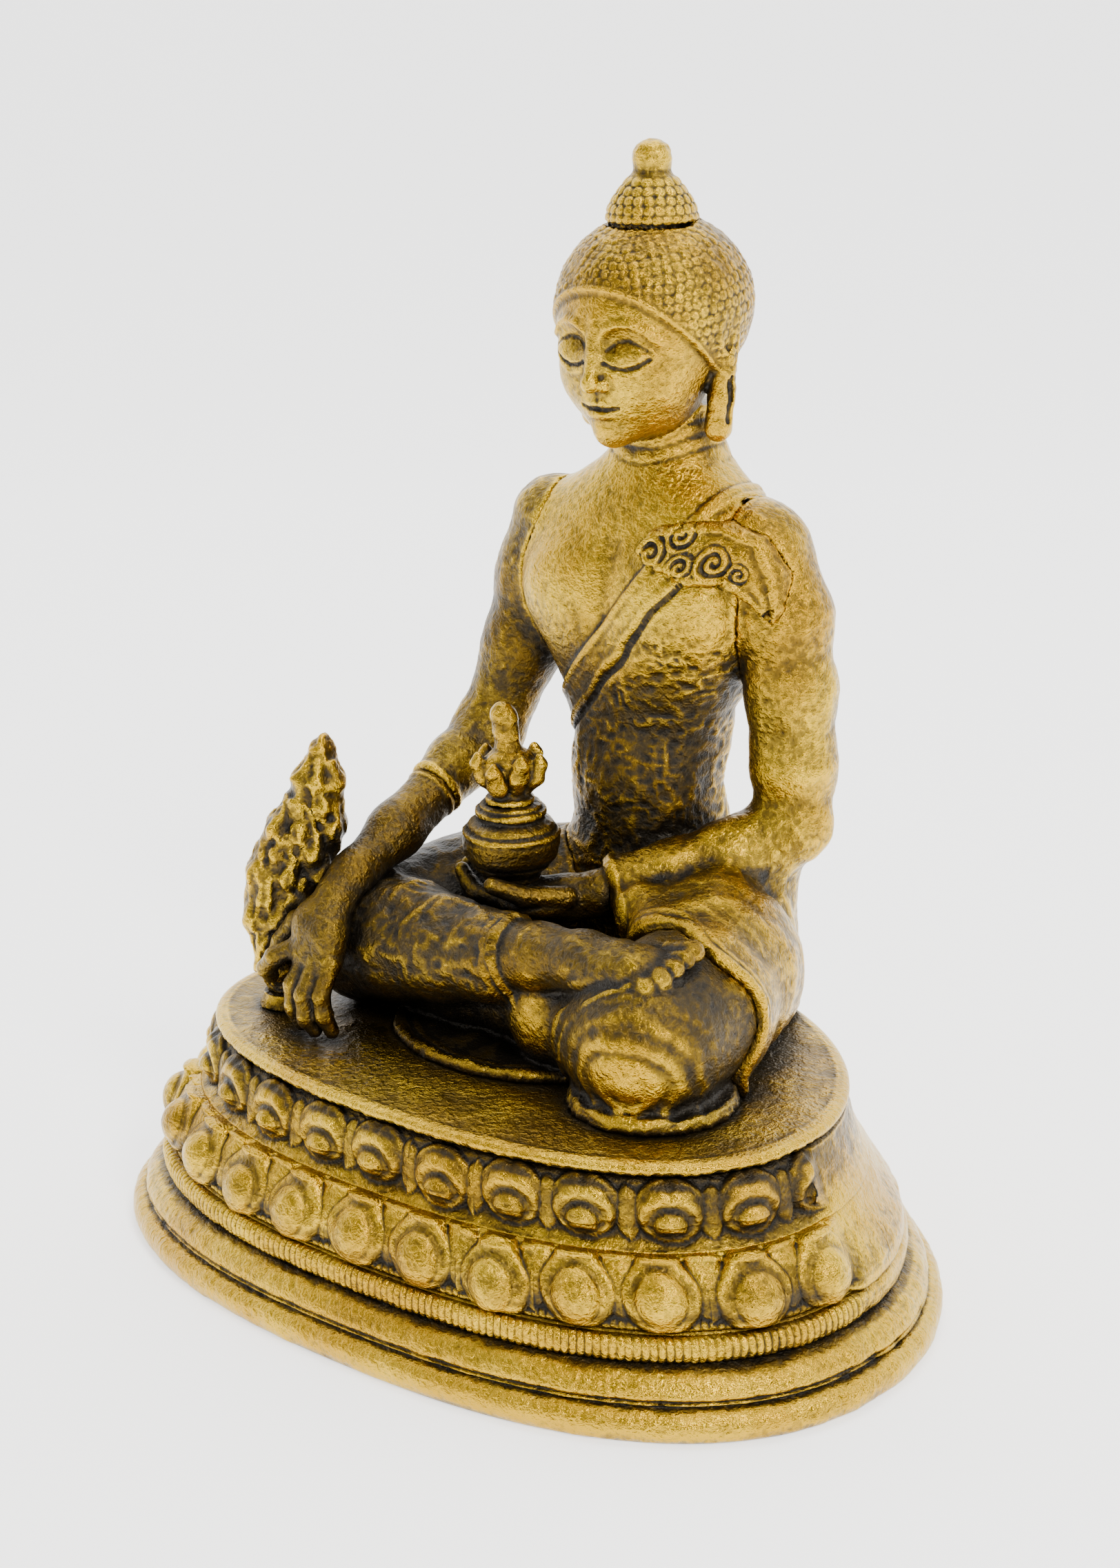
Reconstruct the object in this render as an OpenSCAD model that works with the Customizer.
/* [Whole statue] */
// Height from the resting face to the tip of the hair knob
statue_h = 181.6; // [178:0.2:186]
// Smallest clearance left round pins and plates
gap = 0.12; // [0.08:0.02:0.2]
// Wall of the hollow castings
wall = 3; // [2.5:0.1:3.4]

/* [Lotus base] */
// Widest width of the foot
base_w = 150; // [146:0.5:154]
// Depth of the foot in front of its widest line
front_d = 49; // [47:0.5:51]
// Depth of the foot behind its widest line
back_d = 60.5; // [58:0.5:62]
// Squareness of the front curve, 2 is an ellipse
front_exp = 2.42; // [2.2:0.02:2.6]
// Squareness of the back curve, 2 is an ellipse
back_exp = 1.86; // [1.8:0.02:2]
// How much faster the base narrows at its two ends than at its front
end_taper = 1.18; // [1.1:0.01:1.22]
// Height of the top of the foot moulding and its beads
foot_h = 15; // [14.6:0.1:15.4]
// Height of the narrow waist between the petal rows
waist_h = 25.2; // [24.8:0.1:25.6]
// Height of the dark joint under the seat plate
seat_joint_h = 35.5; // [35.2:0.1:35.8]
// Height of the seat's top
seat_h = 38.2; // [38:0.1:38.6]
// Petals round one row
petal_count = 28; // [24:2:32]
// Grains in the bead row
bead_count = 72; // [60:4:96]

/* [Figure] */
// Distance from the base's centre back to the figure's axis
figure_y = 30; // [29:0.5:31]
// Height of the head's centre above the seat
head_rise = 113; // [112:0.5:114]
// Half the width of the head without the ears
head_r = 15.4; // [15:0.1:15.8]
// Radius of the jar's widest ring
jar_r = 8.15; // [7.8:0.05:8.4]

/* [Fasteners and filling] */
// Radius of the dowel pins
pin_r = 1.8; // [1.4:0.1:2]
// Thickness of the seal plate
plate_t = 1.2; // [1:0.1:1.4]
// Radius of one paper roll
roll_r = 5; // [4.5:0.1:5.2]

/* [Hidden] */

half_w = base_w / 2;
// Line across the foot where it is widest, so that the foot's depth is centred on the origin
wide_y = (front_d - back_d) / 2;
// The figure is drawn from the point where its axis meets the seat
figure_at = [0, figure_y, seat_h];
ring_steps = 72;
petal_steps = 112;
body_fn = 14;
small_fn = 10;

// Undersides of the seal plate and of the pad on it, and the pad's thickness
plate_z = 0.9;
pad_z = plate_z + plate_t + gap;
pad_t = 4;

brass = "#9a6b2f";
dark_brass = "#6f4a22";
pin_brass = "#b08a4a";
copper = "#a4582f";
wood = "#8a623a";
paper = "#d9c79a";
cloth = "#8f2f22";

// ---------------------------------------------------------------- curves

function side(v) = v < 0 ? -1 : 1;
function power(v, n) = side(v) * pow(abs(v), 2 / n);

// A point on the base's plan, moved in by inset: t runs anticlockwise from the statue's left
function plan(t, inset) =
    let (n = sin(t) < 0 ? front_exp : back_exp, depth = sin(t) < 0 ? front_d : back_d)
    [(half_w - inset * end_taper) * power(cos(t), n), wide_y + (depth - inset) * power(sin(t), n)];

function outline(inset, steps = ring_steps) = [for (i = [0:steps - 1]) plan(i * 360 / steps, inset)];

// The petals cover the front half and fade out where the plain back begins
function petal_share(t) = let (s = sin(t)) s < -0.02 ? 1 : s > 0.1 ? 0 : (0.1 - s) / 0.12;
function petal_wave(t) = pow(abs(sin(t * petal_count / 2)), 0.7);

// ---------------------------------------------------------------- general shapes

// Closed band round the plan. Each profile row is [inset, z, petal bulge, petal rise at the notches]
module band(profile, steps = ring_steps) {
    rows = len(profile);
    points = [for (i = [0:steps - 1]) let (t = i * 360 / steps, w = petal_share(t) * (1 - petal_wave(t)))
        for (p = profile) let (q = plan(t, p[0] + w * p[2])) [q[0], q[1], p[1] + w * p[3]]];
    faces = [for (i = [0:steps - 1]) for (j = [0:rows - 1])
        let (a = i * rows, b = ((i + 1) % steps) * rows, k = (j + 1) % rows)
        each [[a + j, b + k, b + j], [a + j, a + k, b + k]]];
    polyhedron(points, faces, convexity = 8);
}

// Closed skin through level ellipses: each row is [x, y, z, half width, half depth]
module stack(rows, sides = body_fn) {
    last = len(rows) - 1;
    points = [for (r = rows) for (i = [0:sides - 1]) let (t = i * 360 / sides)
        [r[0] + r[3] * cos(t), r[1] + r[4] * sin(t), r[2]]];
    walls = [for (j = [0:last - 1]) for (i = [0:sides - 1])
        let (a = j * sides + i, b = j * sides + (i + 1) % sides)
        each [[a, a + sides, b + sides], [a, b + sides, b]]];
    polyhedron(points, concat(walls, [[for (i = [0:sides - 1]) i]],
        [[for (i = [sides - 1:-1:0]) last * sides + i]]), convexity = 4);
}

module ball(p, fn = body_fn) translate([p[0], p[1], p[2]]) sphere(r = p[3], $fn = fn);

// A rounded limb through balls [x, y, z, radius]
module limb(balls, fn = body_fn)
    for (i = [0:len(balls) - 2]) hull() { ball(balls[i], fn); ball(balls[i + 1], fn); }

// A cylinder from one point to another
module rod(a, b, r) {
    d = b - a;
    translate(a) rotate([0, acos(d[2] / norm(d)), atan2(d[1], d[0])]) cylinder(r = r, h = norm(d), $fn = 24);
}

module mirror_copy() { children(); mirror([1, 0, 0]) children(); }

// Everything above the seat
module above_seat() { intersection() { children(); translate([-80, -90, 0]) cube([160, 130, 160]); } }

// ---------------------------------------------------------------- base

foot_profile = [[5.2, 0, 0, 0], [0.9, 0, 0, 0], [0.1, 1.3, 0, 0], [0, 2.6, 0, 0], [0.5, 4, 0, 0],
    [1.4, 4.8, 0, 0], [2.6, 5.1, 0, 0], [2, 5.8, 0, 0], [2.3, 7.2, 0, 0], [3.4, 8.8, 0, 0], [5, 9.8, 0, 0],
    [6.4, 10.2, 0, 0], [6.4, foot_h - 0.2, 0, 0], [9.6, foot_h - 0.2, 0, 0], [9.6, 3.6, 0, 0],
    [8.4, 2.2, 0, 0], [5.2, 2.2, 0, 0]];
lower_profile = [[6.4, foot_h, 0.8, 1.8], [5.5, 16.4, 2, 1.4], [5.9, 18.2, 2.3, 0.7], [7.2, 21, 2, 0],
    [9, 23.4, 1.2, 0], [11.6, waist_h - 0.1, 0, 0], [14.4, waist_h - 0.1, 0, 0], [9.6, foot_h, 0, 0]];
upper_profile = [[11.8, waist_h, 0, 0], [12.8, 26.4, 0, 0], [12.6, 28.5, 0.9, 0], [12.5, 31, 1.7, -0.4],
    [12.9, 33.4, 2.1, -1], [13.8, 35, 1.6, -1.6], [15.8, seat_joint_h - 0.1, 0, 0],
    [17.6, seat_joint_h - 0.1, 0, 0], [14.4, waist_h, 0, 0]];
bead_profile = [[6.3, 10.3], [5.2, 11], [4.9, 12.4], [5.2, 13.8], [6.3, 14.5]];
seat_profile = [[15.8, seat_joint_h], [14.7, 36], [14.2, 36.9], [14.5, 37.8], [15.4, seat_h]];

// Stepped foot, with the rebate that takes the seal plate
module foot_ring() color(brass) band(foot_profile);

// Row of grains that wraps the foot under the lower petals
module bead_row() color(pin_brass) band([for (p = bead_profile) [p[0], p[1], 0, 0]], bead_count);

// Petals that hang down
module lower_petal_ring() color(brass) band(lower_profile, petal_steps);

// Petals that stand up
module upper_petal_ring() color(brass) band(upper_profile, petal_steps);

// Smooth deck that the figure sits on, open under the figure's hollow
module seat_plate() color(dark_brass) difference() {
    hull() band([for (p = seat_profile) [p[0], p[1], 0, 0]]);
    translate([0, figure_y - 1, seat_joint_h - 1]) cylinder(r = 11, h = 5, $fn = 40);
    for (p = rivet_at) translate([p[0], p[1] + figure_y, seat_joint_h - 1])
        cylinder(r = pin_r + gap, h = 5, $fn = 24);
}

// Beaten sheet that closes the chamber from below
module seal_plate() color(copper) translate([0, 0, plate_z]) linear_extrude(plate_t)
    polygon(outline(5.2 + gap, 84));

// Cloth pad between the seal plate and the rolls
module packing_pad() color(cloth) translate([0, 0, pad_z]) difference() {
    linear_extrude(pad_t) polygon(outline(10, 60));
    translate([0, figure_y, -1]) cylinder(r = 6.5, h = 6, $fn = 32);
}

module paper_roll(x, y, h) translate([x, y, pad_z + pad_t + gap]) cylinder(r = roll_r, h = h, $fn = 28);

// Rolled prayer papers stood side by side in the chamber
module prayer_rolls() color(paper) {
    // A ring of short rolls under the sloping wall, then two rows of longer ones
    for (i = [0:17]) let (q = plan(i * 20 + 10, 23)) paper_roll(q[0], q[1], 25);
    for (x = [-36:12:36]) paper_roll(x, -8, 27);
    for (x = [-30:12:30]) paper_roll(x, 6, 27);
}

// Squared stick of wood that stands from the seal plate up into the head
module life_stick() color(wood) translate([0, figure_y, pad_z]) cylinder(r1 = 5.2, r2 = 3, h = 119, $fn = 4);

// ---------------------------------------------------------------- figure: places, from figure_at

rivet_at = [[-18, -22], [18, -22], [-17, 4], [17, 4]];
head_c = [0.3, -1, head_rise];
shoulder_r = [-20.6, 1, 78];
elbow_r = [-29.5, -10, 40];
seam_r = [-29.8, -22, 34.5];
wrist_r = [-30.6, -44, 24];
palm_r = [-30.2, -51, 17];
shoulder_l = [21.4, 2, 79];
elbow_l = [28.6, 3, 33];
wrist_l = [7, -19, 22.5];
jar_at = [-9.5, -26.4, 24];

// Bare chest and robe, from the hips to the neck
torso_rows = [[0, 1.5, 2, 25, 16], [0, 1.5, 10, 23, 15.5], [0, 1, 19, 18.5, 13.5], [0, 0.5, 28, 13, 10.8],
    [0, 0.3, 37, 11.8, 9.4], [0, 0.2, 46, 13.4, 9.8], [0, -0.3, 53, 16, 11], [0, -0.8, 59, 19.6, 12.4],
    [0, -0.6, 67, 22.4, 13], [0, 0.4, 75, 24, 12.6], [0, 1.4, 81, 23, 11.6], [0.4, 2.6, 86, 18.5, 10.6],
    [0.8, 3.6, 89.5, 12.5, 9.6], [1, 4, 93, 9.4, 9], [1, 3.6, 99, 8.6, 8.6]];

module torso_form() stack(torso_rows, 24);

// A point on the torso: a is measured from the front, towards the statue's left
function at_height(z, column) = lookup(z, [for (r = torso_rows) [r[2], r[column]]]);
function on_torso(a, z) = [at_height(z, 0) + at_height(z, 3) * sin(a),
    at_height(z, 1) - at_height(z, 4) * cos(a), z];

module torso_hollow() stack([for (r = torso_rows) if (r[2] < 92)
    [r[0], r[1], r[2] - 1.2, r[3] - wall - (r[2] > 84 ? 1 : 0), r[4] - wall]], 16);

// Ridge of a robe hem over a surface, drawn as a thin rounded cord
module hem(points, r = 0.9) limb([for (p = points) [p[0], p[1], p[2], r]], small_fn);

module torso() color(brass) translate(figure_at) difference() {
    union() {
        torso_form();
        hem([for (i = [0:10]) on_torso(48 - 14 * i, 88 - 4.6 * i + 0.12 * i * i)]);
    }
    torso_hollow();
    head_form();
    rod([0, 0.3, 84], [0, 0.3, 105], pin_r + 0.6 + gap);
    rod(shoulder_r, shoulder_r + [10, 0, 0], pin_r + gap);
    rod(shoulder_l, shoulder_l - [12, 0, 0], pin_r + gap);
    flap_form();
}

// Crossed legs under the robe, with the right foot on the left thigh
module legs_form() above_seat() {
    mirror_copy() {
        limb([[11, 0, 12, 14], [25, -18, 12.5, 13.4], [31, -32, 12, 12.6]]);
        limb([[12, 4, 4, 11.5], [27, -12, 5, 11]]);
    }
    limb([[31, -34, 12, 13.2], [31.5, -44, 10.8, 13]]);
    translate([32, -42.7, 0]) cylinder(r1 = 14, r2 = 13, h = 3, $fn = 40);
    limb([[31.5, -44, 10.8, 13], [15, -37, 8, 8.5], [2, -33, 8, 8], [-12, -34, 8, 8]]);
    limb([[-32.6, -36.5, 11.4, 11.6], [-14, -40, 15.4, 8.4], [2, -42, 18, 7], [16, -44, 20.5, 5.4],
        [28, -47, 22.6, 4]]);
    hull() { ball([-14, -10, 8, 9]); ball([14, -10, 8, 9]); ball([0, -26, 10, 9]); }
    for (i = [0:4]) hull() {
        ball([27 + 0.4 * i, -50 + 2.2 * i, 22.4, 2.1], small_fn);
        ball([32 + 0.6 * i, -52 + 2.3 * i, 22.8 + 0.8 * i, 1.9 - 0.15 * i], small_fn);
    }
    skirt_fan();
}

// Fan-shaped end of the robe, spread on the seat in front of the shins
module skirt_fan() hull() {
    for (p = [[-23, -38], [-17, -46], [-9, -50], [5, -50], [16, -48], [20, -38]])
        translate([p[0], p[1], 0]) cylinder(r = 2, h = 1.3, $fn = small_fn);
    translate([0, -34, 0]) cylinder(r = 10, h = 5, $fn = small_fn);
}

module legs_hollow() {
    mirror_copy() limb([[8, -2, 8, 8], [20, -14, 9, 8], [29, -30, 10, 7]], small_fn);
    hull() { ball([-10, 0, 7, 8], small_fn); ball([10, 0, 7, 8], small_fn); }
}

module legs_and_skirt() color(brass) translate(figure_at) difference() {
    legs_form();
    above_seat() legs_hollow();
    translate([0, -1, -1]) cylinder(r = 11, h = 5, $fn = 40);
    torso_form();
    for (p = rivet_at) translate([p[0], p[1], -1]) cylinder(r = pin_r + gap, h = 12, $fn = 24);
}

// Rivets that hold the figure down, peened under the seat plate
module figure_rivets() color(pin_brass) for (p = rivet_at) translate([p[0], p[1] + figure_y, 0]) {
    translate([0, 0, seat_joint_h - 1.2]) cylinder(r = 3, h = 1.2 - gap, $fn = 24);
    translate([0, 0, seat_joint_h - 1]) cylinder(r = pin_r, h = 11, $fn = 24);
}

// Folded end of the robe that falls over the left shoulder
module flap_form() hull() {
    ball([10, -10.6, 80, 1.8], small_fn);
    ball([24, -6.6, 82, 1.9], small_fn);
    ball([28.6, -6, 72, 1.8], small_fn);
    ball([26, -7.4, 67, 1.4], small_fn);
    ball([12, -12.4, 75, 1.8], small_fn);
}

module shoulder_flap() color(brass) translate(figure_at) difference() {
    flap_form();
    sleeve_form();
}

module neck_pin() color(pin_brass) translate(figure_at) rod([0, 0.3, 85], [0, 0.3, 104], pin_r + 0.6);

// Head on calm, even proportions, with long ear straps and a raised hairline
function skull_w(z) = pow(1 - pow(abs(z) / 17.7, z < 0 ? 2 : 2.5), 0.45) * (z < 0 ? 1 + z * 0.008 : 1);
// A point on the skull: a is measured from the face, towards the statue's left
function on_skull(a, z, r) = [head_c[0] + head_r * skull_w(z) * sin(a),
    head_c[1] - (head_r + 1) * skull_w(z) * cos(a), head_c[2] + z, r];

module mirror_face() { children(); translate([2 * head_c[0], 0, 0]) mirror([1, 0, 0]) children(); }

module skull() stack([for (z = [-17.4:2.9:17.4]) [head_c[0], head_c[1], head_c[2] + z, head_r * skull_w(z),
    (head_r + 1) * skull_w(z)]], 24);

module head_form() {
    skull();
    mirror_copy() limb([[14.8, 1, head_rise + 2, 2.2], [15.2, 0.4, head_rise - 7, 1.9],
        [14.6, 0, head_rise - 16, 2]], small_fn);
    // Nose, brows, lowered lids and closed lips
    hull() { ball(on_skull(0, 2, 1), small_fn); ball(on_skull(0, -5, 2), small_fn); }
    mirror_face() limb([for (a = [10:11:43]) on_skull(a, 3.4 - pow((a - 26) / 14, 2), 0.8)], 8);
    mirror_face() limb([on_skull(15, -0.6, 1.1), on_skull(25, -0.4, 1.4), on_skull(35, -0.6, 1)], 8);
    limb([on_skull(-11, -9.6, 0.7), on_skull(0, -9.4, 1.3), on_skull(11, -9.6, 0.7)], 8);
    limb([for (a = [-80:32:80]) on_skull(a, 11 - 5 * pow(a / 80, 2), 1)], 8);
    for (a = [140:40:220]) hull() { ball(on_skull(a, 4, 1.4), 8); ball(on_skull(a, -8, 1.4), 8); }
}

module head() color(brass) translate(figure_at) difference() {
    head_form();
    translate(head_c + [0, 0, 2]) sphere(r = 10.5, $fn = 24);
    rod([0, 0.3, 84], [0, 0.3, 105], pin_r + 0.6 + gap);
    knob_form();
}

// Raised crown of hair with its ball
module knob_form() translate([head_c[0], head_c[1] + 1.6, head_rise + 15.4]) {
    rotate_extrude($fn = 40) polygon([[0, -1], [8.3, -1], [7.9, 1], [7.3, 3.6], [6, 6.2], [4.5, 8.2],
        [3.3, 10], [3.1, 11], [0, 11]]);
    translate([0, 0, knob_top - 3.4]) sphere(r = 3.4, $fn = 28);
}
knob_top = statue_h - seat_h - head_rise - 15.4;

module hair_knob() color(brass) translate(figure_at) knob_form();

// ---------------------------------------------------------------- figure: right arm

module right_upper_form() {
    limb([concat(shoulder_r, [7.6]), [-23.2, -0.5, 69, 7.2], [-25.6, -3, 57, 6.4],
        concat(elbow_r + [0.6, 2, 2], [5.8])]);
    limb([concat(elbow_r + [0.6, 2, 2], [5.6]), concat(elbow_r, [5.4]), concat(seam_r, [4.6])]);
}

module right_forearm_form() {
    limb([concat(seam_r, [4.7]), concat((seam_r + wrist_r) / 2, [4.3]), concat(wrist_r, [3.6])]);
    limb([concat(wrist_r, [3.6]), concat(palm_r + [-2, 0, 0], [4]), [-31, -53, 12, 3.6]]);
    limb([concat(palm_r + [2.5, 1, 0], [3]), [-28, -53, 12, 2.8]]);
    // Three fingers reach down to touch the seat
    for (i = [0:2]) limb([[-31 + 2.7 * i, -54.5 + 1.2 * i, 11, 1.7],
        [-31.4 + 2.6 * i, -56.4 + 1.2 * i, 6, 1.5], [-31.6 + 2.6 * i, -55.8 + 1.2 * i, 1.5, 1.4]], small_fn);
    // Forefinger and thumb close on the stem
    limb([[-33.6, -54, 12, 1.7], [-37, -55.4, 10, 1.5], [-39.4, -53.6, 8, 1.4]], small_fn);
    limb([[-34, -49, 17, 2], [-38.4, -50, 14, 1.7], [-39.6, -52, 10.6, 1.5]], small_fn);
}

// Everything on the elbow's side of the joint in the forearm
module elbow_side() {
    d = seam_r - elbow_r;
    translate(seam_r) rotate([0, acos(d[2] / norm(d)), atan2(d[1], d[0])]) translate([-60, -60, -120])
        cube([120, 120, 120]);
}

module right_upper_arm() color(brass) translate(figure_at) difference() {
    intersection() { right_upper_form(); elbow_side(); }
    torso_form();
    rod(shoulder_r, shoulder_r + [12, 0, 0], pin_r + gap);
    rod(seam_r + [0, 6.4, 3], seam_r - [0, 6.4, 3], pin_r + gap);
}

module right_forearm() color(brass) translate(figure_at) difference() {
    above_seat() right_forearm_form();
    elbow_side();
    rod(seam_r + [0, 6.4, 3], seam_r - [0, 6.4, 3], pin_r + gap);
    stem_form();
}

module right_shoulder_pin() color(pin_brass) translate(figure_at)
    rod(shoulder_r + [0.4, 0, 0], shoulder_r + [9.6, 0, 0], pin_r);

module right_elbow_pin() color(pin_brass) translate(figure_at)
    rod(seam_r + [0, 6, 2.8], seam_r - [0, 6, 2.8], pin_r);

// ---------------------------------------------------------------- figure: left arm

module sleeve_form() {
    limb([concat(shoulder_l, [8.4]), [26.4, 2, 67, 7.6], [28.2, 2.5, 50, 7], concat(elbow_l, [6.4])]);
    limb([concat(elbow_l, [6.4]), [19, -8, 27, 6], concat(wrist_l, [5.2])]);
    // Drape that falls from the forearm over the thigh to the seat
    hull() for (b = [[24, 2, 29, 5], [16, -12, 25, 5], [24, -1, 3, 5], [37, -16, 3, 5], [34, -14, 16, 5]])
        ball(b);
    hull() for (b = [[16, -12, 25, 5], [9, -19, 22, 4], [20, -27, 23, 3], [34, -14, 16, 5], [37, -20, 18, 3]])
        ball(b);
}

module left_arm_sleeve() color(brass) translate(figure_at) difference() {
    above_seat() sleeve_form();
    torso_form();
    legs_form();
    rod(shoulder_l, shoulder_l - [12, 0, 0], pin_r + gap);
    rod(wrist_l + [7, 5, 2], wrist_l - [6, 3, 0], pin_r - 0.4 + gap);
}

module left_shoulder_pin() color(pin_brass) translate(figure_at)
    rod(shoulder_l - [0.4, 0, 0], shoulder_l - [11.6, 0, 0], pin_r);

module left_wrist_pin() color(pin_brass) translate(figure_at)
    rod(wrist_l + [6.6, 4.7, 1.9], wrist_l - [5.6, 2.8, 0], pin_r - 0.4);

// Open hand that lies palm up in the lap
module left_hand_form() {
    limb([concat(wrist_l - [1, 1, 0], [3.6]), [0, -23, 21.4, 3.4], [-7, -26, 20.8, 3]]);
    for (i = [0:3]) limb([[-8, -22 - 2.6 * i, 21, 1.8], [-14, -21.5 - 2.8 * i, 21.4, 1.6],
        [-19 + i, -21 - 2.8 * i, 23.4, 1.4]], small_fn);
    limb([[1, -27, 22.6, 2], [-2.4, -32.6, 24, 1.7], [-6, -35.4, 26.4, 1.5]], small_fn);
}

module left_hand() color(brass) translate(figure_at) difference() {
    left_hand_form();
    sleeve_form();
    legs_form();
    rod(wrist_l + [7, 5, 2], wrist_l - [6, 3, 0], pin_r - 0.4 + gap);
    translate(jar_at) cylinder(r = 6.4, h = 20, $fn = 32);
    translate(jar_at - [0, 0, 2.6]) cylinder(r = 1.2 + gap, h = 4, $fn = 20);
}

module jar_pin() color(pin_brass) translate(figure_at + jar_at - [0, 0, 2.2])
    cylinder(r = 1.2, h = 4.4, $fn = 20);

// Medicine jar, turned with stepped rings
module jar_body() color(brass) translate(figure_at + jar_at) difference() {
    rotate_extrude($fn = 48) polygon([[0, 0], [6, 0], [6.2, 0.8], [5.4, 1.4], [6.6, 2.2], [7.6, 3.6],
        [jar_r, 5.4], [7.7, 6.4], [jar_r, 7.4], [7.4, 8.8], [7.6, 9.6], [6.2, 10.8], [6.4, 11.4],
        [4.6, 12.2], [4.4, 13], [0, 13]]);
    translate([0, 0, -1]) cylinder(r = 1.2 + gap, h = 3.4, $fn = 20);
    translate([0, 0, 8]) cylinder(r = 2 + gap, h = 6, $fn = 24);
}

// Leafy stopper with a bud, plugged into the jar's neck
module jar_stopper() color(brass) translate(figure_at + jar_at + [0, 0, 13]) {
    translate([0, 0, -4.6]) cylinder(r = 2, h = 4.8, $fn = 24);
    rotate_extrude($fn = 32) polygon([[0, 0], [3.6, 0], [4.4, 1.6], [3, 3], [3.4, 5], [2.2, 6.6],
        [2.6, 9], [3.2, 11], [2.8, 13.4], [1.4, 16], [0.6, 17.4], [0, 17.6]]);
    for (a = [0:60:300]) rotate(a) hull() {
        translate([3.4, 0, 1.6]) sphere(r = 1.6, $fn = small_fn);
        translate([5.4, 0, 5.6]) sphere(r = 1.5, $fn = small_fn);
    }
}

// ---------------------------------------------------------------- sprig

// Stem of the healing plant, held between thumb and forefinger
module stem_form() limb([[-42.5, -48, 3, 2.2], [-43, -48.6, 8, 2], [-42.6, -46, 14, 2.4]], small_fn);

// The middle line of the leaves, bottom to top
plume = [[-43.6, -46.6, 12, 2.6], [-44.2, -46, 18, 3.2], [-43, -44.8, 24, 3.8], [-41.4, -43.2, 30, 3.6],
    [-40, -41.6, 36, 3], [-39.2, -40.6, 42, 2.3], [-38.9, -40, 45, 2]];

module sprig_form() {
    stem_form();
    limb(plume, small_fn);
    // Pairs of leaves, spread to face the front left
    for (i = [0:4]) for (s = [-1, 1]) let (p = plume[i], reach = s * (5.6 - 0.55 * pow(i - 2.4, 2))) hull() {
        ball(p, small_fn);
        ball([p[0] + 0.78 * reach, p[1] + 0.63 * reach, p[2] + 3, 1.8], small_fn);
    }
}

module sprig() color(brass) translate(figure_at) difference() {
    sprig_form();
    foot_block();
}

module foot_block() translate([-42.5, -48, 0]) cylinder(r1 = 4.4, r2 = 3.2, h = 2.4, $fn = 28);

module sprig_foot() color(brass) translate(figure_at) foot_block();

foot_ring();
bead_row();
lower_petal_ring();
upper_petal_ring();
seat_plate();
seal_plate();
packing_pad();
prayer_rolls();
life_stick();
figure_rivets();
legs_and_skirt();
torso();
shoulder_flap();
neck_pin();
head();
hair_knob();
right_shoulder_pin();
right_upper_arm();
right_elbow_pin();
right_forearm();
left_shoulder_pin();
left_arm_sleeve();
left_wrist_pin();
left_hand();
jar_pin();
jar_body();
jar_stopper();
sprig();
sprig_foot();
